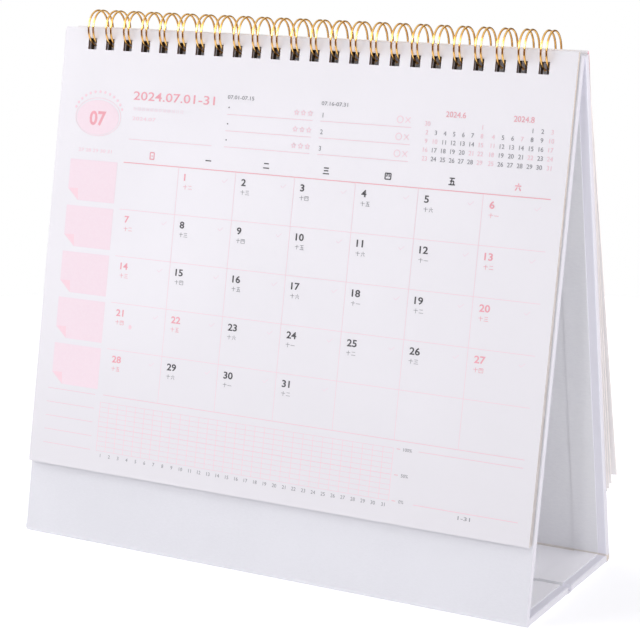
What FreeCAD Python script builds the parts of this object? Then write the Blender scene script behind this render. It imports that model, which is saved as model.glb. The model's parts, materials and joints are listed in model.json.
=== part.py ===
import FreeCAD, Part
import math
import os

from FreeCAD import Vector

# A hard easel desk calendar. X runs along the calendar, Y from front to back and Z up.
# The origin is the middle of the base's underside. All sizes are in millimetres.

# The wrapped case: two leaning panels on a base that is creased along its middle.
case_width = 222.4
panel_height = 205.2      # outer face of a panel, from the desk to its top edge
base_depth = 83.0         # between the outer faces of the panels at the desk
board_thickness = 2.2
wrap_thickness = 0.3
liner_thickness = 0.3
turn_in = 13.0            # how far the wrap is folded over onto the inside of a board
liner_inset = 3.5         # rim of the wrap that the liner leaves showing
top_gap = 0.15            # half the gap between the two panels at the top
fold_radius = 1.8         # outside of the wrap where it turns from panel to base
edge_rounding = 0.5       # where the wrap turns over the edge of a board
fold_clearance = 0.7      # between the boards that meet at a folded corner
crease_half_width = 1.8   # from the middle of the base to the edge of a base board
crease_floor_half_width = 1.2

# The leaves. The front block is still to be used, the turned block hangs behind.
leaf_side_inset = 0.75    # from the side of the case to the side of the leaves
leaf_rise = 1.1           # how far the front leaves stand above the panels' top edges
bare_foot = 29.7          # strip of the front panel that shows below the leaves
turned_drop = 0.45        # how much lower the turned leaves hang on the loops
leaf_gap = 0.35           # between a block and its panel
fan_start = 12.0          # below their top edge the leaves begin to part into bundles
front_bundle = 0.4        # thickness of one bundle of front leaves
front_foot_offsets = (0.85, 1.85, 2.85)     # outer face of each front bundle at its foot
front_foot_lifts = (0.4, 0.2, 0.0)          # how far each bundle's foot is lifted
turned_bundle = 0.35
turned_foot_offsets = (2.4, 4.5, 7.3, 13.0)
turned_foot_lifts = (0.0, 0.2, 1.0, 1.9)

# The twin-loop wire and the punched holes that it passes through.
loop_pitch = 25.4 / 3
end_margin = 11.0         # least distance from a leaf's side to the middle of its last hole
loop_inner_diameter = 14.0
wire_diameter = 0.9
twin_spacing = 2.2        # between the two wires of a loop
root_bend_radius = 1.2
seam_clearance = 0.18     # between the liner and the seam where roots meet closed tips
loop_centre_inset = 0.1   # from the leaves' top edge, along it, down to the loops' centre
binding_offset = 0.5      # the punched row and its wire sit a little to the right
hole_side_clearance = 0.45
hole_foot_clearance = 0.65
hole_margin = 4.15        # paper left between the top edge of a leaf and a hole

# Worked out from the sizes above.
case_thickness = board_thickness + 2 * wrap_thickness
wall_thickness = case_thickness + liner_thickness
half_base = base_depth / 2
half_case = case_width / 2
wall_slope = math.hypot(panel_height, wall_thickness)
lean = math.asin((half_base - top_gap) / wall_slope) - math.atan2(wall_thickness, panel_height)
fold_allowance = wrap_thickness + board_thickness + fold_clearance
leaf_top = panel_height + leaf_rise
leaf_width = case_width - 2 * leaf_side_inset
leaf_height = leaf_top - bare_foot
loop_count = int((leaf_width - 2 * end_margin) / loop_pitch) + 1
loop_radius = (loop_inner_diameter + wire_diameter) / 2
wire_radius = wire_diameter / 2
hole_top = leaf_top - hole_margin
hole_width = twin_spacing + wire_diameter + 2 * hole_side_clearance
hole_height = loop_centre_inset + loop_radius + wire_radius + hole_foot_clearance - hole_margin


class Panel:
    """A flat part of the case: a foot on its outer face, the way up along it and the way in."""

    def __init__(self, foot, along, inward):
        self.foot = Vector(0, *foot)
        self.along = Vector(0, *along)
        self.inward = Vector(0, *inward)

    def point(self, x, height, depth):
        """A point at a height along the outer face and a depth inside it."""
        return self.foot + Vector(x, 0, 0) + self.along * height + self.inward * depth

    def prism(self, outline, half_width):
        """A flat outline of (height, depth) points, stretched from -half_width to half_width."""
        corners = [self.point(-half_width, height, depth) for height, depth in outline]
        face = Part.Face(Part.makePolygon(corners + corners[:1]))
        return face.extrude(Vector(2 * half_width, 0, 0))

    def slab(self, heights, depths, sides):
        """A rectangular slab between two heights, two depths and two places along X."""
        outline = [(heights[0], depths[0]), (heights[1], depths[0]),
                   (heights[1], depths[1]), (heights[0], depths[1])]
        corners = [self.point(sides[0], height, depth) for height, depth in outline]
        face = Part.Face(Part.makePolygon(corners + corners[:1]))
        return face.extrude(Vector(sides[1] - sides[0], 0, 0))


sine, cosine = math.sin(lean), math.cos(lean)
front = Panel((-half_base, 0), (sine, cosine), (cosine, -sine))
back = Panel((half_base, 0), (-sine, cosine), (-cosine, -sine))
base = Panel((0, 0), (1, 0), (0, 1))
loop_centre = Vector(0, 0, (leaf_top - loop_centre_inset - half_base * sine) / cosine)


def joined(shapes):
    """One shape from pieces that share faces."""
    return shapes[0].multiFuse(shapes[1:]).removeSplitter()


def save(shape, node):
    """Write one node's solids and say how large they are."""
    os.makedirs("parts", exist_ok=True)
    shape.exportStep("parts/" + node + ".step")
    print(node, len(shape.Solids), "solids", round(shape.Volume, 1), "mm3", shape.isValid())


def offset_line(points, distance):
    """A line of (y, z) points moved to its left by a distance, with mitred corners."""
    moved = []
    for index, (y, z) in enumerate(points):
        normals = []
        for start, end in ((index - 1, index), (index, index + 1)):
            if start < 0 or end >= len(points):
                continue
            dy = points[end][0] - points[start][0]
            dz = points[end][1] - points[start][1]
            length = math.hypot(dy, dz)
            normals.append((-dz / length, dy / length))
        first, last = normals[0], normals[-1]
        scale = distance / (1 + first[0] * last[0] + first[1] * last[1])
        if len(normals) == 1:
            scale = distance / 2
        moved.append((y + scale * (first[0] + last[0]), z + scale * (first[1] + last[1])))
    return moved


def layer(line, lower, upper, sides):
    """A sheet that follows a line, between two offsets from it and two places along X."""
    outline = offset_line(line, lower) + offset_line(line, upper)[::-1]
    corners = [Vector(sides[0], y, z) for y, z in outline]
    face = Part.Face(Part.makePolygon(corners + corners[:1]))
    return face.extrude(Vector(sides[1] - sides[0], 0, 0))


def outside_line(top):
    """The outer face of the case in section, from panel top to panel top."""
    front_top, back_top = front.point(0, top, 0), back.point(0, top, 0)
    return [(front_top.y, front_top.z), (-half_base, 0), (half_base, 0), (back_top.y, back_top.z)]


def inside_line(top):
    """The inner faces of the boards in section, with the creased groove in the base."""
    depth = wrap_thickness + board_thickness
    front_top, front_corner, back_corner, back_top = offset_line(outside_line(top), depth)
    groove = [(-crease_half_width, depth), (-crease_floor_half_width, wrap_thickness),
              (crease_floor_half_width, wrap_thickness), (crease_half_width, depth)]
    return [front_top, front_corner] + groove + [back_corner, back_top]


def rounded_corners(shape, corners, radius):
    """Round the edges that run along X through the given (y, z) corners."""
    edges = []
    for edge in shape.Edges:
        middle = edge.CenterOfMass
        along_x = abs(edge.tangentAt(edge.FirstParameter).x) > 0.999
        if along_x and any(math.hypot(middle.y - y, middle.z - z) < 0.001 for y, z in corners):
            edges.append(edge)
    return shape.makeFillet(radius, edges)


def loop_places():
    """The middle of each loop along X."""
    middle = (loop_count - 1) / 2
    return [binding_offset + (number - middle) * loop_pitch for number in range(loop_count)]


def punches(panel, depths, top=hole_top):
    """The row of rectangular punches that cuts the binding holes."""
    heights = (top - hole_height, top)
    half = hole_width / 2
    return Part.makeCompound([panel.slab(heights, depths, (x - half, x + half))
                              for x in loop_places()])


case_depths = (-1.0, wall_thickness + 0.5)
case_punches = Part.makeCompound([punches(front, case_depths), punches(back, case_depths)])


# Greyboards, one in each panel and two in the base with the crease between them.
board_depths = (wrap_thickness, wrap_thickness + board_thickness)
board_sides = (wrap_thickness - half_case, half_case - wrap_thickness)
panel_span = (fold_allowance, panel_height - wrap_thickness)
front_base_span = (fold_allowance - half_base, -crease_half_width)
back_base_span = (crease_half_width, half_base - fold_allowance)
boards = [("front_board", front, panel_span), ("base_front_board", base, front_base_span),
          ("base_back_board", base, back_base_span), ("back_board", back, panel_span)]
for node, panel, span in boards:
    save(panel.slab(span, board_depths, board_sides).cut(case_punches), node)


def shaving(corner, first_way, second_way, run):
    """What is cut from a square edge to round it. Both ways lead along the faces."""
    start = corner + first_way * edge_rounding
    end = corner + second_way * edge_rounding
    middle = corner + (first_way + second_way) * (edge_rounding * (1 - math.sqrt(0.5)))
    outline = [Part.makeLine(corner, start), Part.Arc(start, middle, end).toShape(),
               Part.makeLine(end, corner)]
    return Part.Face(Part.Wire(outline)).extrude(run)


def edge_shavings():
    """Rounds the wrap along the sides of every board and along the tops of the panels."""
    cutters = []
    faces = ((0, 1), (case_thickness, -1))
    for _, panel, span in boards:
        top = panel_height if panel is not base else span[1]
        for depth, way in faces:
            for side in (-1, 1):
                corner = panel.point(side * half_case, span[0], depth)
                cutters.append(shaving(corner, Vector(-side, 0, 0), panel.inward * way,
                                       panel.along * (top - span[0])))
    for panel in (front, back):
        for depth, way in faces:
            corner = panel.point(-half_case, panel_height, depth)
            cutters.append(shaving(corner, panel.along * -1, panel.inward * way,
                                   Vector(case_width, 0, 0)))
    return Part.makeCompound(cutters)


def outer_wrap():
    """The one sheet that covers the outside and is turned in over every board edge."""
    outside = outside_line(panel_height)
    skin = layer(outside, 0, wrap_thickness, (-half_case, half_case))
    skin = rounded_corners(skin, outside[1:3], fold_radius)
    inner_corners = offset_line(outside, wrap_thickness)[1:3]
    skin = rounded_corners(skin, inner_corners, fold_radius - wrap_thickness)
    pieces = [skin]
    inner = inside_line(panel_height)
    for side in (-1, 1):
        edge_wall = sorted((side * half_case, side * (half_case - wrap_thickness)))
        edge_flap = sorted((side * half_case, side * (half_case - turn_in)))
        pieces.append(layer(inner, 0, wrap_thickness, edge_flap))
        for _, panel, span in boards:
            pieces.append(panel.slab(span, board_depths, edge_wall))
    for panel in (front, back):
        top_wall = (panel_height - wrap_thickness, panel_height)
        top_flap = (panel_height - turn_in, panel_height)
        flap_depths = (board_depths[1], case_thickness)
        full_width = (-half_case, half_case)
        pieces.append(panel.slab(top_wall, (0, case_thickness), full_width))
        pieces.append(panel.slab(top_flap, flap_depths, full_width))
    return joined(pieces).cut(edge_shavings()).cut(case_punches)


def inner_liner():
    """The sheet on the inside. It steps down from the turned-in wrap onto the boards."""
    rim_half = half_case - liner_inset
    field_half = half_case - turn_in
    step_half = field_half - liner_thickness
    upper = (wrap_thickness, wrap_thickness + liner_thickness)
    rim = layer(inside_line(panel_height - liner_inset), *upper, (-rim_half, rim_half))
    window = layer(inside_line(panel_height - turn_in - liner_thickness), *upper,
                   (-step_half, step_half))
    field = layer(inside_line(panel_height - turn_in), 0, liner_thickness,
                  (-field_half, field_half))
    return joined([rim.cut(window), field]).cut(case_punches)


def leaf_block(panel, drop, bundle, foot_offsets, foot_lifts):
    """Leaves that are one block at the binding and part into bundles towards their foot."""
    top = leaf_top - drop
    split = top - fan_start
    block_depth = -leaf_gap - bundle * len(foot_offsets)
    head = [(top, -leaf_gap), (top, block_depth), (split, block_depth), (split, -leaf_gap)]
    pieces = [panel.prism(head, leaf_width / 2)]
    for number, (offset, lift) in enumerate(zip(foot_offsets, foot_lifts)):
        inner = -leaf_gap - bundle * number
        foot = top - leaf_height + lift
        outline = [(split, inner), (split, inner - bundle), (foot, -offset), (foot, bundle - offset)]
        pieces.append(panel.prism(outline, leaf_width / 2))
    return joined(pieces).cut(punches(panel, (block_depth - 1.0, 0), hole_top - drop))


def round_loop_point(x, angle):
    """A point on the circle of a loop. Angles are in degrees, from +Y towards +Z."""
    turn = math.radians(angle)
    return loop_centre + Vector(x, loop_radius * math.cos(turn), loop_radius * math.sin(turn))


def tangent(angle):
    """The way along the circle of a loop, towards growing angles."""
    turn = math.radians(angle)
    return Vector(0, -math.sin(turn), math.cos(turn))


def loop_arc(x, start, end):
    """One wire of a loop, round its circle."""
    points = [round_loop_point(x, angle) for angle in (start, (start + end) / 2, end)]
    return Part.Arc(*points).toShape()


def flat_bend(start, middle_way, radius, across):
    """A quarter bend from a wire that runs along middle_way to one that runs along X."""
    corner = math.sqrt(0.5)
    middle = start + middle_way * (radius * corner) + across * (radius * (1 - corner))
    end = start + middle_way * radius + across * radius
    return Part.Arc(start, middle, end).toShape(), end


def wire_binding():
    """One wire bent into twin loops. Roots and closed tips meet between the two panels."""
    half_twin = twin_spacing / 2
    seam_height = loop_centre.z - loop_radius
    half_room = half_base - wall_thickness / cosine - seam_height * sine / cosine
    half_seam = half_room - wire_radius - seam_clearance
    root_angle = 270 - math.degrees(math.asin((half_seam + root_bend_radius) / loop_radius))
    tip_angle = math.degrees(math.asin((half_seam + half_twin) / loop_radius)) - 90
    root_way = tangent(root_angle)
    tip_way = -tangent(tip_angle)
    edges = []
    last_root = None
    for x in loop_places():
        left_root = round_loop_point(x - half_twin, root_angle)
        if last_root is not None:
            bend, run_end = flat_bend(left_root, root_way, root_bend_radius, Vector(-1, 0, 0))
            edges.append(Part.LineSegment(last_root, run_end).toShape())
            edges.append(bend)
        edges.append(loop_arc(x - half_twin, root_angle, tip_angle))
        tip_start = round_loop_point(x - half_twin, tip_angle)
        tip_end = round_loop_point(x + half_twin, tip_angle)
        tip_middle = (tip_start + tip_end) * 0.5 + tip_way * half_twin
        edges.append(Part.Arc(tip_start, tip_middle, tip_end).toShape())
        edges.append(loop_arc(x + half_twin, tip_angle, root_angle))
        right_root = round_loop_point(x + half_twin, root_angle)
        bend, last_root = flat_bend(right_root, root_way, root_bend_radius, Vector(1, 0, 0))
        if x != loop_places()[-1]:
            edges.append(bend)
    path = Part.Wire(edges)
    start = round_loop_point(loop_places()[0] - half_twin, root_angle)
    section = Part.Wire([Part.makeCircle(wire_radius, start, root_way)])
    return Part.Solid(path.makePipeShell([section], True, False).Shells[0])


save(outer_wrap(), "outer_wrap")
save(inner_liner(), "inner_liner")
front_leaves = leaf_block(front, 0, front_bundle, front_foot_offsets, front_foot_lifts)
turned_leaves = leaf_block(back, turned_drop, turned_bundle, turned_foot_offsets,
                           turned_foot_lifts)
save(front_leaves, "front_leaves")
save(turned_leaves, "turned_leaves")
save(wire_binding(), "wire_binding")
print("lean", round(math.degrees(lean), 3), "loop centre", round(loop_centre.z, 2))
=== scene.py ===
# %% [markdown]
# # A desk calendar on a card easel
# The real calendar is four grey boards wrapped in one sheet of white cover paper, a liner glued inside, two
# blocks of leaves and a gold twin-loop wire. The engineering model already holds their true sizes and places.
# This lesson gives each of them its finish, winds a rounder wire, and prints the top leaf.

# %% Load the fixed frame
import json
import math
import bmesh
import bpy
from mathutils import Matrix, Vector


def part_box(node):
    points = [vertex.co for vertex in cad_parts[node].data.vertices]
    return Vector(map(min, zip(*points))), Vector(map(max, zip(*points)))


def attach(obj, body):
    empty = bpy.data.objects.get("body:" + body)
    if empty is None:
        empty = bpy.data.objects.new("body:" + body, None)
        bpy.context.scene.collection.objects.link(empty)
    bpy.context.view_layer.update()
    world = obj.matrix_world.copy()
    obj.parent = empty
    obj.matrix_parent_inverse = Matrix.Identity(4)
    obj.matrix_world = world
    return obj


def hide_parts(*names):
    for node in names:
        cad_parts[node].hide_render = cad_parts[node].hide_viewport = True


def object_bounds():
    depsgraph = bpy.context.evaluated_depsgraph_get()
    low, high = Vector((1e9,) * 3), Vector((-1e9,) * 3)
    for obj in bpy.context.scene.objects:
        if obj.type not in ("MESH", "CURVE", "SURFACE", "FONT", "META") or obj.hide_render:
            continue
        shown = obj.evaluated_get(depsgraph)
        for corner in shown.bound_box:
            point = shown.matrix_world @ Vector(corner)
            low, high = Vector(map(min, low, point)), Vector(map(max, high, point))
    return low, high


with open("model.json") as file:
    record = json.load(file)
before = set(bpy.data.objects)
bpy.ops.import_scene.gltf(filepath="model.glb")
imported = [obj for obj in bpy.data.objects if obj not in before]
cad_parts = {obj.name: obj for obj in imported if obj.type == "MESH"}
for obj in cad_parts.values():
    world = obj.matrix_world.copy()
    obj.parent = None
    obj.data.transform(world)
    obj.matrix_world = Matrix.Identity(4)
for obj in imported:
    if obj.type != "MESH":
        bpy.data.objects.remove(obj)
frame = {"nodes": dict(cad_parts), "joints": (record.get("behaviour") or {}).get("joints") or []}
cad_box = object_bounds()
MM = 0.001
nodes = frame["nodes"]

# %% [markdown]
# ## The camera
# A product view from a little above and to the right, with a long lens, so that upright edges stay nearly
# parallel. A long lens far away looks calmer than a short lens close by. The camera has no roll, so two angles
# and a place are all that it needs. It looks along +Y when its azimuth is zero.

# %% Set up the camera
view_azimuth = 28.96
view_elevation = 13.1
camera_place = Vector((372.0, -665.1, 270.2)) * MM
camera_data = bpy.data.cameras.new("product_camera")
camera_data.sensor_width = 36.0
camera_data.lens = 112.4
camera = bpy.data.objects.new("product_camera", camera_data)
camera.location = camera_place
camera.rotation_euler = (math.radians(90 - view_elevation), 0, math.radians(view_azimuth))
bpy.context.scene.collection.objects.link(camera)
bpy.context.scene.camera = camera
print("camera", [round(value, 3) for value in camera_place], "lens", camera_data.lens)

# %% [markdown]
# ## Shader maths as expressions
# A node tree is easier to read when it is written like a sum. The class below wraps one output socket. Adding,
# multiplying or comparing two of them adds a Math node, and its method `node` makes any other node: settings
# first, then the values or links of its inputs. Colours are blended with Mix nodes, because a Math node would
# turn them grey.

# %% A socket that does arithmetic
class Signal:
    """One output socket of a node tree."""

    def __init__(self, tree, socket=None):
        self.tree = tree
        self.socket = socket

    def node(self, kind, inputs=None, output=0, stops=None, **settings):
        """Add a node, set it up, fill its inputs and return one of its outputs. Stops are those of a ramp."""
        made = self.tree.nodes.new("ShaderNode" + kind)
        for name, value in settings.items():
            setattr(made, name, value)
        if stops:
            made.color_ramp.elements.remove(made.color_ramp.elements[1])
            made.color_ramp.elements[0].position = stops[0][0]
            made.color_ramp.elements[0].color = stops[0][1]
            for place, tone in stops[1:]:
                made.color_ramp.elements.new(place).color = tone
        for name, value in (inputs or {}).items():
            if isinstance(value, Signal):
                self.tree.links.new(value.socket, made.inputs[name])
            else:
                made.inputs[name].default_value = value
        return Signal(self.tree, made.outputs[output])

    def maths(self, operation, first, second=0.0):
        return self.node("Math", {0: first, 1: second}, operation=operation)

    def __add__(self, other):
        return self.maths("ADD", self, other)

    def __sub__(self, other):
        return self.maths("SUBTRACT", self, other)

    def __rsub__(self, other):
        return self.maths("SUBTRACT", other, self)

    def __mul__(self, other):
        return self.maths("MULTIPLY", self, other)

    def __truediv__(self, other):
        return self.maths("DIVIDE", self, other)

    def __lt__(self, other):
        return self.maths("LESS_THAN", self, other)

    def __gt__(self, other):
        return self.maths("GREATER_THAN", self, other)

    def __abs__(self):
        return self.maths("ABSOLUTE", self)

    __radd__ = __add__
    __rmul__ = __mul__

    def ease(self, low, high):
        """0 below low, 1 above high and a smooth step between them."""
        inputs = {"Value": self, "From Min": low, "From Max": high}
        return self.node("MapRange", inputs, interpolation_type="SMOOTHSTEP")

    def tint(self, first, second):
        """Blend two colours by this value. A Mix node has its colours in inputs 6 and 7 and in output 2."""
        inputs = {0: self, 6: first, 7: second}
        return self.node("Mix", inputs, output=2, data_type="RGBA")


def colour(red, green, blue):
    """A screen colour from 0 to 255 as the linear colour that shaders work in."""
    def linear(value):
        value /= 255
        return value / 12.92 if value <= 0.04045 else ((value + 0.055) / 1.055) ** 2.4
    return linear(red), linear(green), linear(blue), 1.0


print("shader maths ready; mid grey is", round(colour(128, 128, 128)[0], 3))

# %% [markdown]
# ## One recipe for a finish
# Every finish here starts with the same two things: a Principled shader, and the piece's own coordinates in
# metres. A finish that is the same all over looks like plastic, so each one gets grain: noise at the size of
# the real fibres for the bump, and a much larger and weaker noise for the colour. Constants go straight on the
# shader's own sockets, and only what varies is linked. The direction of a face makes a good mask, because it
# tells an edge from a sheet: it looks mostly one way when that part of its direction is over 0.7.

# %% Start a material
mostly = 0.7


def new_finish(name, **constants):
    """A material with its constants set. Returns it, its shader and the place on the piece in metres."""
    material = bpy.data.materials.new(name)
    material.use_nodes = True
    tree = material.node_tree
    shader = tree.nodes["Principled BSDF"]
    for socket, value in constants.items():
        shader.inputs[socket.replace("_", " ")].default_value = value
    return material, shader, Signal(tree).node("TexCoord", output="Object")


def feed(shader, socket, signal):
    """Link a varying signal to one of the shader's inputs."""
    signal.tree.links.new(signal.socket, shader.inputs[socket])


def part_of(vector, axis):
    """One coordinate of a place or a direction."""
    return vector.node("SeparateXYZ", {"Vector": vector}, output=axis)


def face_way(place):
    """The direction in which a face looks."""
    return place.node("NewGeometry", output="Normal")


def looks_sideways(place):
    """1 on the faces that look left or right, 0 on all others."""
    return abs(part_of(face_way(place), "X")) > mostly


def looks_up(place):
    """1 on the faces that look up, 0 on all others."""
    return part_of(face_way(place), "Z") > mostly


def noise(place, per_metre, detail=2.0, stretch=(1.0, 1.0, 1.0)):
    """Noise of a given fineness, drawn out along an axis where stretch is under 1."""
    scaled = place.node("VectorMath", {0: place, 1: stretch}, operation="MULTIPLY")
    return place.node("TexNoise", {"Vector": scaled, "Scale": per_metre, "Detail": detail})


def raise_grain(shader, height, depth):
    """Bump from a height signal. Depth is the height of the grain in metres."""
    bump = height.node("Bump", {"Height": height, "Distance": depth, "Strength": 1.0})
    feed(shader, "Normal", bump)


def coat_node(node, material):
    """Give a node of the engineering model its finish."""
    slots = nodes[node].data.materials
    slots.clear()
    slots.append(material)


print("finish recipe ready")

# %% [markdown]
# ## Cover paper and liner
# The case is covered in a smooth, slightly cool white paper that has a faint fibre in it. It is pulled tight
# over the boards, so it shows only very shallow waves. The liner glued inside is a softer and whiter paper.
# Neither is one tone all over. The faces that look into the case are painted lighter than the outside, and
# the liner is painted lighter still on the base, where it looks up. Both are painted light that brightens the
# shaded inside of the case. The faces that look sideways are painted a little darker, as painted shade, because
# the side light falls strongly on them. A tan line in the fold between the back panel and the base is painted
# shade as well. Each of these is a mask, made from a face's place and direction, that blends two tones.

# %% Make the cover paper and the liner
case_middle = Vector((0, 0, 70)) * MM
back_fold = Vector((0, 37.8, 3.1)) * MM
# A tan line in the back fold is painted shade. It is strongest at its right end.
fold_shade_tone = colour(216, 205, 192)
fold_shade_share = 0.55


def out_from_line(place, middle):
    """The way to a place from the line along X through a middle."""
    off = place.node("VectorMath", {0: place, 1: middle}, operation="SUBTRACT")
    return off.node("VectorMath", {0: off, 1: (0, 1, 1)}, operation="MULTIPLY")


def glue_line(place):
    """How much painted shade shows in the back fold: most at its right end, none away from the fold."""
    out = out_from_line(place, back_fold)
    reach = out.node("VectorMath", {0: out}, operation="LENGTH", output="Value")
    return (1 - reach.ease(0.3 * MM, 0.65 * MM)) * part_of(place, "X").ease(-20 * MM, 110 * MM) * fold_shade_share


def looks_inside(place):
    """1 on the faces that look into the case, 0 on its outer faces."""
    ways = {0: out_from_line(place, case_middle), 1: face_way(place)}
    return place.node("VectorMath", ways, operation="DOT_PRODUCT", output="Value") < 0.0


def paper_finish(name, light, dark, edge, fibres_per_metre, fibre_depth, rough, lit_tone=None, lit_where=None):
    """Two close tones with long fibres along X, painted shade on sideways faces, and painted light where asked.
    """
    material, shader, place = new_finish(name, Specular_IOR_Level=0.25)
    cloud = noise(place, 18.0, detail=3.0)
    fibres = noise(place, fibres_per_metre, detail=4.0, stretch=(0.35, 1.0, 1.0))
    sheet = (cloud * 0.6 + fibres * 0.4).ease(0.35, 0.65).tint(dark, light)
    # Where asked, a lighter tone is painted light on the chosen faces.
    if lit_where:
        sheet = lit_where(place).tint(sheet, lit_tone)
    # Faces that look sideways get the darker edge tone, which is painted shade. The tan fold line over it is
    # painted shade too.
    feed(shader, "Base Color", glue_line(place).tint(looks_sideways(place).tint(sheet, edge), fold_shade_tone))
    feed(shader, "Roughness", fibres * 0.12 + rough)
    raise_grain(shader, fibres, fibre_depth)
    return material


# The wrap is painted lighter on faces that look into the case, as painted light, and darker on its sideways
# faces, as painted shade.
wrap_paper = paper_finish(
    "wrap_paper", light=colour(219, 219, 224), dark=colour(215, 215, 220), edge=colour(210, 208, 214),
    fibres_per_metre=2200.0, fibre_depth=0.03 * MM, rough=0.52,
    lit_tone=colour(235, 234, 242), lit_where=looks_inside)
# The liner is painted lighter where it looks up, as painted light, and darker on its sideways faces, as painted
# shade.
liner_paper = paper_finish(
    "liner_paper", light=colour(236, 236, 238), dark=colour(231, 231, 234), edge=colour(224, 223, 227),
    fibres_per_metre=1500.0, fibre_depth=0.05 * MM, rough=0.68,
    lit_tone=colour(252, 251, 254), lit_where=looks_up)
coat_node("outer_wrap", wrap_paper)
coat_node("inner_liner", liner_paper)
print("cover paper and liner done")

# %% [markdown]
# ## Grey board
# Grey board is pressed from waste paper. It shows only inside the punched holes, and its dark brown-grey is
# painted shade for the inside of those deep holes. It has flecks, and layers along its thickness.

# %% Make the grey board
greyboard, board_shader, board_place = new_finish("greyboard", Specular_IOR_Level=0.2)
flecks = noise(board_place, 3500.0, detail=3.0).ease(0.55, 0.7)
layers = noise(board_place, 900.0, detail=2.0, stretch=(0.05, 6.0, 1.0))
# These dark tones are painted shade for the inside of the holes.
shaded_board_tone = layers.ease(0.4, 0.6).tint(colour(66, 55, 48), colour(88, 74, 66))
feed(board_shader, "Base Color", (flecks * 0.4).tint(shaded_board_tone, colour(128, 112, 102)))
feed(board_shader, "Roughness", flecks * 0.1 + 0.8)
raise_grain(board_shader, layers, 0.1 * MM)
for board in ("front_board", "base_front_board", "base_back_board", "back_board"):
    coat_node(board, greyboard)
print("grey board on four boards")

# %% [markdown]
# ## The plane of the top leaf
# The print has to lie exactly on the leaf, so its plane is read from the model: of all the faces that look
# towards the reader, it is the large one that lies furthest out. A matrix then takes millimetres across and
# down the leaf to places in the room, and every printed shape goes through it.

# %% Find the printed face
def printed_face(node, toward):
    """The outermost large flat face that looks a given way: its normal and its corner points."""
    mesh = nodes[node].data
    groups = {}
    for face in mesh.polygons:
        if face.normal.dot(toward) < 0.9:
            continue
        key = tuple(round(value, 3) for value in face.normal)
        area, points = groups.get(key, (0.0, []))
        points = points + [mesh.vertices[index].co for index in face.vertices]
        groups[key] = (area + face.area, points)
    large = max(area for area, points in groups.values()) / 2
    outer = [(points[0].dot(Vector(key).normalized()), Vector(key).normalized(), points)
             for key, (area, points) in groups.items() if area > large]
    return max(outer, key=lambda found: found[0])[1:]


def leaf_matrix(node, toward):
    """Takes (across, -down, out) in millimetres on a leaf to the room, and gives the leaf's size."""
    normal, points = printed_face(node, toward)
    low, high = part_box(node)
    right_way = Vector((1, 0, 0))
    down_way = right_way.cross(normal).normalized()
    foot = max(points, key=lambda point: point.dot(down_way))
    corners = [vertex.co for vertex in nodes[node].data.vertices]
    length = foot.dot(down_way) - min(corner.dot(down_way) for corner in corners)
    corner = Vector((low.x, foot.y, foot.z)) - down_way * length
    rows = Matrix((right_way, -down_way, normal)).transposed().to_4x4()
    size = ((high.x - low.x) / MM, length / MM)
    return Matrix.Translation(corner) @ rows @ Matrix.Scale(MM, 4), size


toward_reader = Vector((0, -0.98, 0.19)).normalized()
page, (page_width, page_length) = leaf_matrix("front_leaves", toward_reader)
print("top leaf", round(page_width, 1), "by", round(page_length, 1), "mm")

# %% [markdown]
# ## Leaf paper
# The leaves are a smooth white card with a cool tint, painted a little darker towards the foot, as painted
# shade. Their cut edges are warmer, because the sheet's core is less bright than its coating, and darker
# lines on them are painted shade between the leaves. The walls of the punched holes are cut too, and their
# dark brown is painted shade inside the holes. Both look sideways, so the distance from the middle tells them
# apart: the last hole ends well before the block does.

# %% Make the leaf paper
hole_zone = 109.0 * MM
# The hole walls' dark brown is painted shade.
hole_shade_tone = colour(104, 86, 78)
foot_shade_tone = colour(221, 219, 223)


def leaf_finish(name, face_light, face_dark, edge_light, edge_dark, glow=0.0):
    """Leaf faces, cut edges with fine lines of painted shade, and hole walls in painted shade. Returns the
    parts to tint further.
    """
    material, shader, place = new_finish(name, Specular_IOR_Level=0.25, Emission_Strength=glow)
    is_side = looks_sideways(place)
    tooth = noise(place, 2600.0, detail=3.0)
    cloud = noise(place, 14.0, detail=2.0)
    face_tone = cloud.ease(0.35, 0.65).tint(face_dark, face_light)
    # The darker fine lines are painted shade between the leaves.
    lines = noise(place, 5200.0, detail=1.0, stretch=(1.0, 1.0, 0.02))
    edge_tone = lines.ease(0.4, 0.6).tint(edge_dark, edge_light)
    # Sideways faces near the middle are hole walls, which take the painted shade.
    by_a_hole = abs(part_of(place, "X")) < hole_zone
    cut_tone = by_a_hole.tint(edge_tone, hole_shade_tone)
    feed(shader, "Roughness", tooth * 0.1 + 0.5)
    raise_grain(shader, tooth, 0.02 * MM)
    return material, shader, place, is_side, face_tone, cut_tone


leaf_paper, leaf_shader, leaf_place, is_side, face_tone, cut_tone = leaf_finish(
    "leaf_paper", face_light=colour(232, 230, 234), face_dark=colour(229, 227, 231),
    edge_light=colour(214, 204, 194), edge_dark=colour(190, 178, 166))
# Towards the foot the leaf takes a darker tone, which is painted shade.
upper = part_of(leaf_place, "Z").ease(15 * MM, 125 * MM)
feed(leaf_shader, "Base Color", is_side.tint(upper.tint(foot_shade_tone, face_tone), cut_tone))
coat_node("front_leaves", leaf_paper)
print("front leaves done")

# %% [markdown]
# ## The turned leaves
# The turned leaves have the same paper. Their edges show more: the leaves that were used first carry a red
# print that runs off the sheet near the top, so the cut edge there is red, then brown, and fades out lower
# down. A colour ramp along the height gives that. Light comes through real paper, so the gaps between fanned
# leaves are never black. These closed shapes let none through, and a very faint glow stands for it.

# %% Colour the turned leaves
light_through = 0.03
bleed_length = 20.0 * MM
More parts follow.
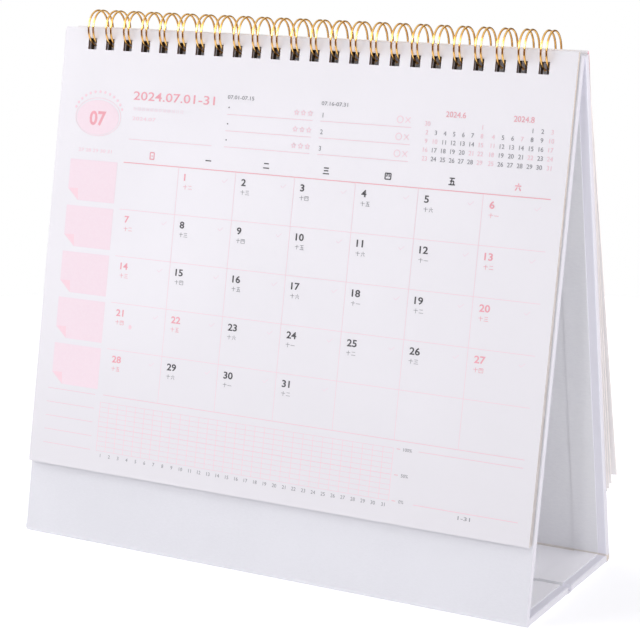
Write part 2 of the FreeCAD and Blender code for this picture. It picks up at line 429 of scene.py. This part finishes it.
# The turned leaves' faces are painted lighter than the top leaf's. This is painted light for the light that
# gets into the gaps between them.
turned_leaf_paper, turned_shader, turned_place, turned_side, turned_lit_face, turned_cut = leaf_finish(
    "turned_leaf_paper", face_light=colour(246, 243, 243), face_dark=colour(242, 239, 239),
    edge_light=colour(246, 236, 230), edge_dark=colour(228, 216, 209), glow=light_through)
turned_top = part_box("turned_leaves")[1].z
drop = (turned_top - part_of(turned_place, "Z")) / bleed_length
bleed_tone = drop.node("ValToRGB", {"Fac": drop}, stops=(
    (0.0, colour(222, 196, 202)), (0.06, colour(214, 150, 160)), (0.09, colour(176, 14, 36)),
    (0.3, colour(160, 22, 44)), (0.42, colour(112, 60, 70)), (0.6, colour(178, 160, 156)),
    (1.0, colour(212, 202, 198))))
edge_mix = drop.ease(0.6, 1.0).tint(bleed_tone, turned_cut)
feed(turned_shader, "Base Color", turned_side.tint(turned_lit_face, edge_mix))
coat_node("turned_leaves", turned_leaf_paper)
print("turned leaves done")

# %% [markdown]
# ## The twin-loop wire
# The real binding is one gold wire, bent back and forth into pairs of loops. A path with a round profile would
# do, but a chain of spins says better how it is made: a small ring of points is spun round the loop's middle,
# round the closed tip, back again, and through two bends to the next loop. Each spin goes on from the last ring
# of the one before, so the wire stays one closed skin. Last, the round loops are pressed a little narrower, as
# a closing tool leaves them, and more in front than behind, where they have to clear the turned leaves.

# %% Sizes of the wire, from the frame
wire_low, wire_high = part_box("wire_binding")
loop_axis = Vector(frame["joints"][0]["pos_m"])
loop_pitch = 25.4 / 3 * MM
loop_count = 24
wire_radius = 0.38 * MM
half_twin = 1.1 * MM
root_bend = 1.2 * MM
wire_to_top = 0.45 * MM
loop_radius = wire_high.z - loop_axis.z - wire_to_top
wire_middle = (wire_low.x + wire_high.x) / 2
half_seam = 0.75 * MM
root_angle = 270 - math.degrees(math.asin((half_seam + root_bend) / loop_radius))
tip_angle = math.degrees(math.asin((half_seam + half_twin) / loop_radius)) - 90
front_press, back_press = (0.9, 0.9), (0.95, 0.94)
loop_steps, tip_steps, root_steps = 44, 10, 6
along = Vector((1, 0, 0))
print("loops of", round(loop_radius / MM, 2), "mm radius, middle at", round(wire_middle / MM, 2), "mm")


# %% Spin the wire
def loop_way(angle):
    """From a loop's middle towards a point on it. Angles go from +Y towards +Z."""
    return Vector((0, math.cos(math.radians(angle)), math.sin(math.radians(angle))))


def loop_middle(x):
    return Vector((x, loop_axis.y, loop_axis.z))


def loop_point(x, angle):
    return loop_middle(x) + loop_way(angle) * loop_radius


def bend_on(mesh, ring, middle, axis, degrees, steps):
    """Spin the open end of the wire about an axis and return its new end."""
    spun = bmesh.ops.spin(mesh, geom=ring, cent=middle, axis=axis, angle=math.radians(degrees), steps=steps)
    return [item for item in spun["geom_last"] if not isinstance(item, bmesh.types.BMFace)]


def run_on(mesh, ring, step):
    """Draw the open end of the wire out in a straight line."""
    edges = [item for item in ring if isinstance(item, bmesh.types.BMEdge)]
    drawn = bmesh.ops.extrude_edge_only(mesh, edges=edges)["geom"]
    ends = [item for item in drawn if not isinstance(item, bmesh.types.BMFace)]
    points = [item for item in ends if isinstance(item, bmesh.types.BMVert)]
    bmesh.ops.translate(mesh, vec=step, verts=points)
    edge_set = [item for item in ends if isinstance(item, bmesh.types.BMEdge)
                and all(vert in points for vert in item.verts)]
    return points + edge_set


def one_loop(mesh, ring, x):
    """Over the top, round the closed tip and back again."""
    sweep = root_angle - tip_angle
    ring = bend_on(mesh, ring, loop_middle(x), along, -sweep, loop_steps)
    ring = bend_on(mesh, ring, loop_point(x, tip_angle), loop_way(tip_angle), -180, tip_steps)
    return bend_on(mesh, ring, loop_middle(x), along, sweep, loop_steps)


def wind_wire():
    """All the loops, joined by their roots, with both cut ends closed, and pressed to their final width."""
    mesh = bmesh.new()
    xs = [wire_middle + (number - (loop_count - 1) / 2) * loop_pitch for number in range(loop_count)]
    root_way = loop_way(root_angle)
    place = (Matrix.Translation(loop_point(xs[0] - half_twin, root_angle))
             @ along.cross(root_way).to_track_quat("Z", "X").to_matrix().to_4x4())
    made = bmesh.ops.create_circle(mesh, segments=12, radius=wire_radius, matrix=place)
    first = made["verts"] + list(mesh.edges)
    ring = first
    for x in xs:
        ring = one_loop(mesh, ring, x)
        if x == xs[-1]:
            break
        right_root = loop_point(x + half_twin, root_angle)
        ring = bend_on(mesh, ring, right_root + along * root_bend, root_way, 90, root_steps)
        ring = run_on(mesh, ring, along * (loop_pitch - 2 * half_twin - 2 * root_bend))
        next_root = loop_point(x + loop_pitch - half_twin, root_angle)
        ring = bend_on(mesh, ring, next_root - along * root_bend, root_way, 90, root_steps)
    for end in (first, ring):
        rim = [item for item in end if isinstance(item, bmesh.types.BMEdge)]
        bmesh.ops.edgeloop_fill(mesh, edges=rim)
    from_axis = Matrix.Translation(-loop_axis)
    for behind, (width, depth) in ((False, front_press), (True, back_press)):
        half = [vert for vert in mesh.verts if (vert.co.y > loop_axis.y) == behind]
        lower = [vert for vert in half if vert.co.z < loop_axis.z]
        bmesh.ops.scale(mesh, vec=(1, width, 1), space=from_axis, verts=half)
        bmesh.ops.scale(mesh, vec=(1, 1, depth), space=from_axis, verts=lower)
    return mesh


def shown(mesh, name, material, smooth=False):
    """Turn a bmesh into an object in the scene."""
    bmesh.ops.recalc_face_normals(mesh, faces=mesh.faces)
    for face in mesh.faces:
        face.smooth = smooth
    data = bpy.data.meshes.new(name)
    mesh.to_mesh(data)
    mesh.free()
    data.materials.append(material)
    piece = bpy.data.objects.new(name, data)
    bpy.context.scene.collection.objects.link(piece)
    return piece


print("each loop turns through", round(root_angle - tip_angle), "degrees, there and back")

# %% [markdown]
# ## The closed ends of the bottom folds
# Where a panel turns into the base, the sheet makes a small roll between two board ends. On the real case its
# open end is closed by the paper that was tucked in there. Each tuck is the hull of two discs as round as the
# roll and of a few points that reach under the board ends, given as how far they lie from the middle and how
# high. The two tucks at the back are painted tan brown, as painted shade inside the back fold.

# %% Close the ends of the folds
roll_radius = 1.65 * MM
roll_out, roll_up = 39.33 * MM, 1.8 * MM
board_end_points = ((38.1, 0.15), (38.1, 2.7), (40.75, 3.3), (38.5, 3.0))
tuck_depth = 0.3 * MM
tuck_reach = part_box("outer_wrap")[1].x - 0.08 * MM


def fold_tuck(mesh, x, side):
    """One closed tuck. Side is -1 at the front fold and 1 at the back fold."""
    made = []
    for depth in (0, tuck_depth):
        at = math.copysign(tuck_reach - depth, x)
        place = Matrix.Translation((at, side * roll_out, roll_up)) @ Matrix.Rotation(math.pi / 2, 4, "Y")
        made += bmesh.ops.create_circle(mesh, segments=32, radius=roll_radius, matrix=place)["verts"]
        for y, z in board_end_points:
            made.append(mesh.verts.new((at, side * y * MM, z * MM)))
    hull = bmesh.ops.convex_hull(mesh, input=made)
    spare = {item for item in hull["geom_interior"] + hull["geom_unused"]
             if isinstance(item, bmesh.types.BMVert)}
    bmesh.ops.delete(mesh, geom=list(spare), context="VERTS")


def fold_tucks(name, side, material):
    mesh = bmesh.new()
    for x in (-1, 1):
        fold_tuck(mesh, x, side)
    tucks = shown(mesh, name, material)
    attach(tucks, "easel")
    print(name, len(tucks.data.polygons), "faces")


# The back tucks' tan brown is painted shade inside the fold.
shaded_tuck_paper = paper_finish(
    "shaded_tuck_paper", light=colour(200, 190, 180), dark=colour(188, 176, 164), edge=colour(198, 187, 176),
    fibres_per_metre=1800.0, fibre_depth=0.05 * MM, rough=0.6)
fold_tucks("front_fold_tucks", -1, wrap_paper)
fold_tucks("back_fold_tucks", 1, shaded_tuck_paper)

# %% [markdown]
# ## Gold plating
# The wire is steel with a bright gold-coloured plating. Metal takes nearly all of its look from what it
# reflects, so the finish itself only needs a deep gold, a low roughness with faint drawing lines along the
# wire, and slightly browner metal where the plating is thin.

# %% Make the gold wire
gold_wire, gold_shader, gold_place = new_finish("gold_wire", Metallic=1.0)
plating = noise(gold_place, 420.0, detail=3.0).ease(0.4, 0.7)
feed(gold_shader, "Base Color", plating.tint(colour(238, 194, 116), colour(224, 170, 92)))
feed(gold_shader, "Roughness", noise(gold_place, 1800.0) * 0.1 + 0.12)
raise_grain(gold_shader, noise(gold_place, 2400.0, detail=1.0), 0.01 * MM)
wire = shown(wind_wire(), "twin_loop_wire", gold_wire, smooth=True)
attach(wire, "easel")
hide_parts("wire_binding")
print("wire has", len(wire.data.polygons), "faces")

# %% [markdown]
# ## Printing the top leaf
# Print is a film of ink a few hundredths of a millimetre thick, so each ink is modelled as closed slabs that
# stand just clear of the leaf. One helper class holds an ink's mesh and draws bars, patches, ovals, stars and
# numbers in millimetres across and down the leaf. A painted image of the page would be easier, but shapes stay
# sharp at any distance. No words are printed: their places hold plain numbers.

# %% A class for one ink
class Ink:
    """One colour of print, drawn in millimetres across and down the leaf. A slab of it reaches from its root,
    a little inside the leaf, to its lift above it."""

    root = -0.03

    def __init__(self, name, material, lift):
        self.name = name
        self.material = material
        self.lift = lift
        self.mesh = bmesh.new()

    def slab(self, across, down, length, width, turn=0.0):
        """The matrix of a flat slab of ink of that size, its middle at a place on the leaf."""
        middle = Matrix.Translation((across, -down, (self.lift + self.root) / 2))
        size = Matrix.Diagonal((length, width, self.lift - self.root, 1))
        return middle @ Matrix.Rotation(turn, 4, "Z") @ size

    def bar(self, start, end, width):
        """A straight line of ink."""
        run, fall = end[0] - start[0], end[1] - start[1]
        middle = ((start[0] + end[0]) / 2, (start[1] + end[1]) / 2)
        matrix = self.slab(*middle, math.hypot(run, fall), width, math.atan2(-fall, run))
        bmesh.ops.create_cube(self.mesh, size=1.0, matrix=matrix)

    def oval(self, centre, across, down, segments=64):
        """A filled oval."""
        matrix = self.slab(*centre, across, down)
        bmesh.ops.create_cone(self.mesh, cap_ends=True, segments=segments, radius1=0.5, radius2=0.5,
                              depth=1.0, matrix=matrix)

    def chain(self, points, width):
        """Straight lines from point to point."""
        for start, end in zip(points, points[1:]):
            self.bar(start, end, width)

    def ring(self, centre, across, down, width, segments=64):
        """A thin oval line."""
        turns = [math.tau * step / segments for step in range(segments + 1)]
        self.chain([(centre[0] + across / 2 * math.cos(turn), centre[1] + down / 2 * math.sin(turn))
                    for turn in turns], width)

    def star(self, centre, radius, width):
        """The outline of a five-pointed star."""
        points = []
        for step in range(11):
            reach = radius * (0.45 if step % 2 else 1.0)
            turn = math.radians(36 * step)
            points.append((centre[0] + reach * math.sin(turn), centre[1] - reach * math.cos(turn)))
        self.chain(points, width)

    def patch(self, corners):
        """A flat shape with straight sides."""
        verts = [self.mesh.verts.new((across, -down, self.root)) for across, down in corners]
        face = self.mesh.faces.new(verts)
        grown = bmesh.ops.extrude_face_region(self.mesh, geom=[face])["geom"]
        tops = [item for item in grown if isinstance(item, bmesh.types.BMVert)]
        bmesh.ops.translate(self.mesh, vec=(0, 0, self.lift - self.root), verts=tops)

    def number(self, text, across, down, height, weight=0.0, align="CENTER", stretch=1.0):
        """A number, its middle at a height down the leaf and its middle or left side across it."""
        mesh, width = type_mesh(str(text), weight)
        left = across if align == "LEFT" else across - width * height / 2
        placed = mesh.copy()
        placed.transform(self.slab(left, down, height * stretch, height))
        self.mesh.from_mesh(placed)
        bpy.data.meshes.remove(placed)

    def row(self, text, left, right, down, height, weight=0.0):
        """A row of numbers stretched to fit between two places."""
        natural = type_mesh(text, weight)[1] * height
        self.number(text, left, down, height, weight, "LEFT", stretch=(right - left) / natural)

    def strokes(self, lines, across, down, size, width):
        """A sign made of straight strokes in a unit square."""
        for start, end in lines:
            self.bar((across + (start[0] - 0.5) * size, down + (start[1] - 0.5) * size),
                     (across + (end[0] - 0.5) * size, down + (end[1] - 0.5) * size), width)

    def print_on(self, matrix, body, slot_name):
        """Lay the ink on its leaf."""
        bmesh.ops.transform(self.mesh, matrix=matrix, verts=self.mesh.verts)
        piece = shown(self.mesh, self.name, self.material)
        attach(piece, body)
        print(self.name, len(piece.data.polygons), "faces")


print("ink tools ready")

# %% [markdown]
# ## Numbers
# A number starts as a text curve. It is made a mesh before it is placed, with its height scaled to one and its
# left side at zero, and kept for the next time that the same number is wanted. The offset of the curve makes
# the strokes bolder.

# %% Turn text into meshes once
type_cases = {}


def raw_type(text, weight):
    """The mesh of a text, one unit deep, with doubled points merged."""
    curve = bpy.data.curves.new("type", "FONT")
    curve.body = text
    curve.extrude = 0.5
    curve.offset = weight
    curve.resolution_u = 3
    holder = bpy.data.objects.new("type", curve)
    bpy.context.scene.collection.objects.link(holder)
    bpy.context.view_layer.update()
    drawn = bpy.data.meshes.new_from_object(holder.evaluated_get(bpy.context.evaluated_depsgraph_get()))
    bpy.data.objects.remove(holder)
    bpy.data.curves.remove(curve)
    merged = bmesh.new()
    merged.from_mesh(drawn)
    bmesh.ops.remove_doubles(merged, verts=merged.verts, dist=0.0005)
    merged.to_mesh(drawn)
    merged.free()
    return drawn


def type_mesh(text, weight):
    """A text with digits one unit high, its left side and its middle height at zero, and its width."""
    if (text, weight) not in type_cases:
        eight = [vertex.co.y for vertex in raw_type("8", weight).vertices]
        drawn = raw_type(text, weight)
        xs = [vertex.co.x for vertex in drawn.vertices]
        scale = 1 / (max(eight) - min(eight))
        middle = (max(eight) + min(eight)) / 2
        drawn.transform(Matrix.Diagonal((scale, scale, 1, 1)) @ Matrix.Translation((-min(xs), -middle, 0)))
        type_cases[text, weight] = (drawn, (max(xs) - min(xs)) * scale)
    return type_cases[text, weight]


print("the number 28 is", round(type_mesh("28", 0.0)[1], 2), "times as wide as high")

# %% [markdown]
# ## Inks
# The leaf is printed in six inks: two pale pinks for fields and marks, two pinks for rules and numbers, a
# charcoal for the dates and a grey for small numbers. Ink soaks in unevenly, so each has a faint mottle.

# %% Mix the inks
mottle = 0.06


def ink_finish(name, tone):
    """A flat ink that lets a little of the paper's tooth show."""
    material, shader, place = new_finish(name, Specular_IOR_Level=0.3)
    uneven = noise(place, 900.0, detail=3.0).ease(0.35, 0.65)
    thin = tuple(value + (0.9 - value) * mottle for value in tone[:3]) + (1.0,)
    feed(shader, "Base Color", uneven.tint(tone, thin))
    feed(shader, "Roughness", uneven * 0.08 + 0.5)
    raise_grain(shader, noise(place, 2600.0, detail=3.0), 0.02 * MM)
    return material


blush = Ink("print_blush_fields", ink_finish("ink_blush", colour(234, 215, 223)), 0.010)
petal = Ink("print_petal_marks", ink_finish("ink_petal", colour(237, 206, 215)), 0.014)
rule = Ink("print_pink_rules", ink_finish("ink_rule", colour(233, 194, 204)), 0.016)
rose = Ink("print_rose_numbers", ink_finish("ink_rose", colour(228, 160, 171)), 0.020)
charcoal = Ink("print_charcoal_numbers", ink_finish("ink_charcoal", colour(58, 57, 62)), 0.020)
grey = Ink("print_grey_marks", ink_finish("ink_grey", colour(128, 128, 134)), 0.020)
inks = (blush, petal, rule, rose, charcoal, grey)
print(len(inks), "inks")

# %% [markdown]
# ## The month's grid
# Seven columns and five rows, with a strong rule under the weekdays. The month starts on a Monday, and the
# first column is Sunday. The two outer columns and two single days are pink, as days of rest are. The weekday
# heads are a sun sign and the plain numerals one to six, built from strokes. Each date has two small numerals
# under it and a pale tick in the far corner of its cell.

# %% Print the month
grid_left, grid_top = 33.45, 52.5
column, row = 26.05, 18.62
grid_right = grid_left + 7 * column
grid_foot = grid_top + 5 * row
weekday_signs = (
    (((0.15, 0), (0.15, 1)), ((0.85, 0), (0.85, 1)), ((0.15, 0), (0.85, 0)), ((0.4, 0.5), (0.6, 0.5)),
     ((0.15, 1), (0.85, 1))),
    (((0, 0.5), (1, 0.5)),),
    (((0.1, 0.2), (0.9, 0.2)), ((0, 0.85), (1, 0.85))),
    (((0.1, 0.1), (0.9, 0.1)), ((0.15, 0.5), (0.85, 0.5)), ((0, 0.92), (1, 0.92))),
    (((0.05, 0.1), (0.95, 0.1)), ((0.05, 0.1), (0.05, 0.95)), ((0.95, 0.1), (0.95, 0.95)),
     ((0.05, 0.95), (0.95, 0.95)), ((0.38, 0.1), (0.3, 0.6)), ((0.62, 0.1), (0.7, 0.6))),
    (((0.1, 0.05), (0.9, 0.05)), ((0.48, 0.05), (0.34, 0.93)), ((0.18, 0.45), (0.78, 0.45)),
     ((0.78, 0.45), (0.74, 0.93)), ((0, 0.95), (1, 0.95))),
    (((0.5, 0), (0.55, 0.2)), ((0.05, 0.35), (0.95, 0.35)), ((0.36, 0.55), (0.1, 1)),
     ((0.64, 0.55), (0.9, 1))),
)
cross_sign = (((0, 0.4), (1, 0.4)), ((0.5, 0), (0.5, 1)))
first_weekday, month_days, rest_days = 1, 31, (1, 22)
head_down, head_size, head_stroke = 49.1, 2.6, 0.42
small_down, small_size, small_stroke = 7.6, 1.75, 0.16


def print_weekdays():
    for number, sign in enumerate(weekday_signs):
        ink = rose if number in (0, 6) else charcoal
        ink.strokes(sign, grid_left + (number + 0.5) * column + 0.15, head_down, head_size, head_stroke)


def print_grid():
    rule.bar((grid_left, grid_foot), (grid_right, grid_foot), 0.22)
    for number in range(1, 5):
        height = grid_top + number * row
        petal.bar((grid_left, height), (grid_right, height), 0.19)
    for number in range(1, 7):
        place = grid_left + number * column
        petal.bar((place, grid_top), (place, grid_foot), 0.15)
    rose.bar((grid_left, grid_top), (grid_right, grid_top), 0.3)


def print_day(day):
    """A date, the two small numerals under it and the tick in the far corner of its cell."""
    cell = day - 1 + first_weekday
    left, top = grid_left + cell % 7 * column, grid_top + cell // 7 * row
    resting = cell % 7 in (0, 6) or day in rest_days
    large, small = (rose, rose) if resting else (charcoal, grey)
    large.number(day, left + 2.8, top + 3.8, 2.75, weight=0.02, align="LEFT", stretch=1.17)
    for sign, across in ((cross_sign, 3.7), (weekday_signs[day % 6 + 1], 5.85)):
        small.strokes(sign, left + across, top + small_down, small_size, small_stroke)
    tick = ((left + 20.3, top + 3.7), (left + 21.1, top + 4.5), (left + 22.6, top + 3.1))
    blush.chain(tick, 0.22)


print_weekdays()
print_grid()
for day in range(1, month_days + 1):
    print_day(day)
print("month printed,", month_days, "days")

# %% [markdown]
# ## The head of the page
# Above the month are a badge with the month's number, a row of all twelve months, two short lists to fill in,
# and two small calendars for the months before and after. The lists have dots, stars, rings and crosses to
# mark. A ring of dots goes over the badge.

# %% Print the badge and the lists
def print_badge():
    blush.oval((19.2, 35.6), 20.3, 13.9)
    petal.ring((19.35, 35.35), 21.7, 15.1, 0.18)
    rose.number("07", 19.2, 35.9, 5.8, weight=0.03)
    for step in range(13):
        turn = math.radians(200 + step * 140 / 12)
        centre = (19.4 + 11.8 * math.cos(turn), 35.2 + 9.9 * math.sin(turn))
        petal.oval(centre, 1.1, 1.1, segments=16)


def print_title():
    """The month's first and last day, all twelve months, and the month again, in the place of words."""
    rose.row("2024.07.01-31", 35.5, 73.2, 25.9, 3.4, weight=0.005)
    blush.row("01 02 03 04 05 06 07 08 09 10 11 12", 35.9, 59.3, 31.1, 1.3)
    petal.row("2024.07", 35.7, 46.7, 34.9, 1.4)
    rule.bar((34.9, 43.2), (73.5, 43.2), 0.16)


def print_lists():
    grey.row("07.01-07.15", 78.9, 90.7, 24.0, 1.45)
    grey.row("07.16-07.31", 120.2, 131.4, 24.0, 1.45)
    for number, height in enumerate((30.7, 37.0, 43.2)):
        rule.bar((79.2, height), (116.9, height), 0.18)
        rule.bar((120.3, height), (158.4, height), 0.18)
        middle = height - 2.7
        charcoal.oval((79.85, middle), 0.55, 0.55, segments=12)
        grey.number(number + 1, 121.2, height - 2.3, 1.8)
        for star in range(3):
            petal.star((109.8 + star * 2.95, height - 2.6), 1.05, 0.3)
        petal.ring((153.6, middle), 2.4, 2.5, 0.3, segments=20)
        for way in (-1, 1):
            petal.bar((155.8, middle - way), (157.8, middle + way), 0.3)


print_badge()
print_title()
print_lists()
print("badge, months and lists printed")

# %% [markdown]
# ## The small calendars
# They have five lines each, so a day that would need a sixth goes back to the first. Days of rest are paler
# than in the month itself, because the numbers are so small.

# %% Print the two small calendars
small_title_down, small_days_down, small_line = 24.95, 28.8, 3.19


def print_small_month(title, left, step, first, days, resting):
    """A month in small numbers. First is the weekday of its first day, from Sunday as 0."""
    rose.number(title, left + 3 * step, small_title_down, 2.1)
    for day in range(1, days + 1):
        cell = day - 1 + first
        line = cell // 7 % 5
        ink = rule if cell % 7 in (0, 6) or day in resting else grey
        ink.number(day, left + cell % 7 * step, small_days_down + line * small_line, 1.65)


print_small_month("2024.6", 164.9, 3.67, 6, 30, (10, 21))
print_small_month("2024.8", 191.4, 3.76, 4, 31, (7, 22))
print("small calendars printed")

# %% [markdown]
# ## The margin and the foot of the page
# On the left are five note fields, each with one corner turned up, and five lines. Under the month is a chart
# with a column for every day, a scale beside it, and a place for notes between two rules. Last, all six inks
# are laid on the leaf.

# %% Print the notes and the chart
def print_notes():
    petal.row("27 28 29 30 31", 11.2, 27.3, 48.8, 1.35)
    left, right, height = 7.8, 30.55, 16.4
    for number in range(5):
        top = 52.8 + number * row
        foot = top + height
        fold_side, fold_foot = (left, foot - 4.6), (left + 5.2, foot)
        fold_tip = (left + 4.8, foot - 4.8)
        blush.patch([(left, top), (right, top), (right, foot), fold_foot, fold_side])
        petal.patch([fold_side, fold_tip, fold_foot])
        line = 145.9 + number * 5.55
        rule.bar((6.4, line), (29.6, line), 0.18)


def print_chart():
    left, right, top, foot = 32.5, 163.8, 148.6, 168.1
    step = (right - left) / month_days
    for number in range(11):
        height = top + number * (foot - top) / 10
        rule.bar((left, height), (right, height), 0.2 if number == 5 else 0.12)
    for number in range(month_days + 1):
        petal.bar((left + number * step, top), (left + number * step, foot), 0.2)
    for day in range(1, month_days + 1):
        grey.number(day, left + (day - 0.5) * step, 169.9, 1.4)
    for label, height in (("100%", top + 0.1), ("50%", (top + foot) / 2), ("0%", foot - 0.1)):
        rose.bar((165.1, height), (166.6, height), 0.2)
        grey.number(label, 167.9, height, 1.25, align="LEFT")


def print_note_box():
    rule.bar((174.1, 148.6), (215.6, 148.6), 0.2)
    rule.bar((173.9, 168.3), (215.7, 168.3), 0.24)
    grey.row("1-31", 192.2, 197.1, 170.2, 1.4)


print_notes()
print_chart()
print_note_box()
petal.oval((43.4, 117.3), 1.5, 1.7, segments=16)
for ink in inks:
    ink.print_on(page, "front_leaves", "leaf_paper")

# %% [markdown]
# ## Floor, sky and lamps
# The calendar stands on a small white table in a bright room. Paper and metal want different rooms. Soft even
# light from all round shows paper best, but it leaves metal flat, because metal shows what it reflects. So the
# sky has two sides. Rays that left paper find a soft light, strongest at the left and right, where it reaches
# into the open ends of the case. Rays that left something glossy find a bright band in front, a fairly bright
# ceiling, and a dim and warm part below. The camera itself sees plain white. Of the two lamps, a small one far
# off at the front right draws the thin shadows of the wire and of the leaves, and a broad one near by at the
# front left stands for a window.

# %% Set up the studio
floor_radius = 0.5
under_the_case = 0.05 * MM
white = (1.0, 1.0, 1.0, 1.0)


def make_floor():
    mesh = bmesh.new()
    bmesh.ops.create_circle(mesh, cap_ends=True, segments=96, radius=floor_radius)
    material, shader, place = new_finish("pale_floor", Specular_IOR_Level=0.1, Emission_Color=white,
                                         Emission_Strength=0.36)
    feed(shader, "Base Color", noise(place, 6.0).tint(colour(250, 250, 251), colour(253, 253, 254)))
    feed(shader, "Roughness", noise(place, 40.0) * 0.1 + 0.75)
    floor = shown(mesh, "floor", material)
    floor.data.transform(Matrix.Translation((0, 0, cad_box[0][2] - under_the_case)))


def make_sky():
    """A sky that paper, glossy things and the camera each see in their own way."""
    world = bpy.data.worlds.new("studio_sky")
    world.use_nodes = True
    bpy.context.scene.world = world
    tree = world.node_tree
    tree.nodes.remove(tree.nodes["Background"])
    start = Signal(tree)
    direction = start.node("TexCoord", output="Generated")
    height, across, away = (part_of(direction, axis) for axis in ("Z", "X", "Y"))
    soft_light = across * across * 2.45 + 0.11
    band = (height.ease(0.2, 0.27) - height.ease(0.44, 0.54)) * (1 - away.ease(-0.2, 0.4))
    ceiling = height.ease(0.45, 0.7)
    gloss_light = band * 6.0 + height.ease(0.1, 0.2) * 0.17 + ceiling * 0.7 + 0.2
    gloss_tone = height.ease(0.05, 0.25).tint(colour(255, 186, 140), colour(255, 252, 248))
    paper_sky = start.node("Background", {"Color": colour(252, 251, 255), "Strength": soft_light})
    gloss_sky = start.node("Background", {"Color": gloss_tone, "Strength": gloss_light})
    seen_sky = start.node("Background", {"Color": white, "Strength": 1.0})
    glossy = start.node("LightPath", output="Is Glossy Ray")
    seen = start.node("LightPath", output="Is Camera Ray")
    lit = start.node("MixShader", {0: glossy, 1: paper_sky, 2: gloss_sky})
    both = start.node("MixShader", {0: seen, 1: lit, 2: seen_sky})
    tree.links.new(both.socket, tree.nodes["World Output"].inputs["Surface"])


def make_lamp(name, place, target, size, power):
    """A round lamp that points at a target. Size is its diameter in metres, power is in watts."""
    lamp_data = bpy.data.lights.new(name, "AREA")
    lamp_data.shape = "DISK"
    lamp_data.size = size
    lamp_data.energy = power
    lamp = bpy.data.objects.new(name, lamp_data)
    lamp.location = place
    lamp.rotation_euler = (Vector(target) - Vector(place)).to_track_quat("-Z", "Y").to_euler()
    bpy.context.scene.collection.objects.link(lamp)


make_floor()
make_sky()
make_lamp("key_lamp", (0.39, -2.02, 1.39), target=(0, 0, 0.15), size=0.12, power=6.0)
make_lamp("window_lamp", (-0.3, -0.3, 0.5), target=(-0.05, 0, 0.15), size=0.3, power=0.62)
bpy.context.scene.view_settings.view_transform = "Standard"
print("studio ready")
